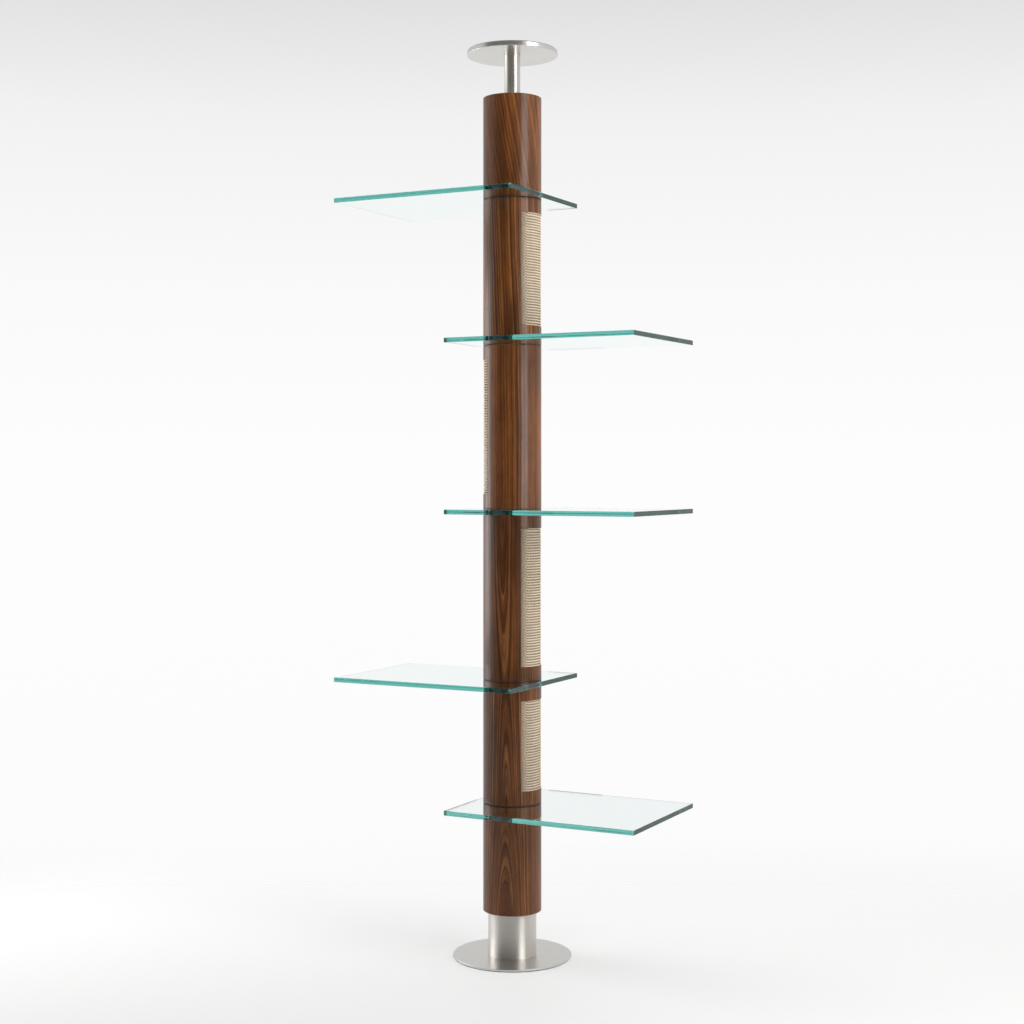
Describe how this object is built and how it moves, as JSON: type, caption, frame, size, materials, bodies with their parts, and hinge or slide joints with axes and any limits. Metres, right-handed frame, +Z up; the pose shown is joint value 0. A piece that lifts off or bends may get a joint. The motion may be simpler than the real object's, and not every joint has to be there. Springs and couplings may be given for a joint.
{
  "type": "cat tree",
  "caption": "Floor-to-ceiling cat tree: round walnut column with rope windows, clear glass shelves on alternating sides, steel base and sprung ceiling post.",
  "frame": {"origin": "centre of the base's underside, on the floor", "axes": "+Z up along the column, +X the way the lowest shelf points"},
  "size_m": [0.885, 0.396, 2.438],
  "materials": {
    "walnut": "satin oiled walnut, grain along the column",
    "shelf_glass": "clear float glass with polished blue-green edges",
    "brushed_steel": "brushed stainless steel",
    "sisal_rope": "twisted natural sisal rope",
    "gasket_rubber": "matt dark rubber",
    "floor_felt": "dense dark felt",
    "plain_steel": "plain machined steel",
    "black_steel": "black oxide steel",
    "inner_ply": "bare birch plywood",
    "white_nylon": "natural nylon",
    "black_nylon": "black nylon"
  },
  "bodies": {
    "column": {"base_pad": "floor_felt", "base_plate": "brushed_steel", "base_screws": "plain_steel", "pedestal_tube": "brushed_steel", "pedestal_foot": "plain_steel", "pedestal_cap": "plain_steel", "core_tube": "plain_steel", "core_plug": "plain_steel", "core_bolt": "plain_steel", "walnut_skin_1": "walnut", "walnut_skin_2": "walnut", "walnut_skin_3": "walnut", "walnut_skin_4": "walnut", "walnut_skin_5": "walnut", "walnut_skin_6": "walnut", "inner_tube_1": "inner_ply", "inner_tube_2": "inner_ply", "inner_tube_3": "inner_ply", "inner_tube_4": "inner_ply", "inner_tube_5": "inner_ply", "inner_tube_6": "inner_ply", "end_rings_1": "inner_ply", "end_rings_2": "inner_ply", "end_rings_3": "inner_ply", "end_rings_4": "inner_ply", "end_rings_5": "inner_ply", "end_rings_6": "inner_ply", "rope_wrap_2": "sisal_rope", "rope_wrap_3": "sisal_rope", "rope_wrap_4": "sisal_rope", "rope_wrap_5": "sisal_rope", "top_cap": "brushed_steel", "guide_bush": "white_nylon", "lock_collar": "plain_steel", "lock_screws": "black_steel", "spring_seat": "plain_steel", "tension_spring": "black_steel"},
    "shelf_1": {"shelf_glass_1": "shelf_glass", "shelf_gaskets_1": "gasket_rubber", "shelf_sleeve_1": "black_nylon"},
    "shelf_2": {"shelf_glass_2": "shelf_glass", "shelf_gaskets_2": "gasket_rubber", "shelf_sleeve_2": "black_nylon"},
    "shelf_3": {"shelf_glass_3": "shelf_glass", "shelf_gaskets_3": "gasket_rubber", "shelf_sleeve_3": "black_nylon"},
    "shelf_4": {"shelf_glass_4": "shelf_glass", "shelf_gaskets_4": "gasket_rubber", "shelf_sleeve_4": "black_nylon"},
    "shelf_5": {"shelf_glass_5": "shelf_glass", "shelf_gaskets_5": "gasket_rubber", "shelf_sleeve_5": "black_nylon"},
    "ceiling_head": {"ceiling_post": "brushed_steel", "post_foot": "white_nylon", "post_plug": "plain_steel", "ceiling_plate": "brushed_steel", "plate_bolt": "plain_steel", "ceiling_pad": "floor_felt"}
  },
  "joints": [
    {"name": "shelf_1_swivel", "type": "hinge", "parent": "column", "child": "shelf_1", "pos_m": [0, 0, 0.40935], "axis": [0, 0, 1], "continuous": true},
    {"name": "shelf_2_swivel", "type": "hinge", "parent": "column", "child": "shelf_2", "pos_m": [0, 0, 0.74005], "axis": [0, 0, 1], "continuous": true},
    {"name": "shelf_3_swivel", "type": "hinge", "parent": "column", "child": "shelf_3", "pos_m": [0, 0, 1.19875], "axis": [0, 0, 1], "continuous": true},
    {"name": "shelf_4_swivel", "type": "hinge", "parent": "column", "child": "shelf_4", "pos_m": [0, 0, 1.64945], "axis": [0, 0, 1], "continuous": true},
    {"name": "shelf_5_swivel", "type": "hinge", "parent": "column", "child": "shelf_5", "pos_m": [0, 0, 2.04015], "axis": [0, 0, 1], "continuous": true},
    {"name": "post_slide", "type": "slide", "parent": "column", "child": "ceiling_head", "axis": [0, 0, 1], "range_m": [-0.04, 0.05], "stiffness_N_per_m": 1500, "springref_m": 0.08, "deforming": ["tension_spring"]}
  ]
}
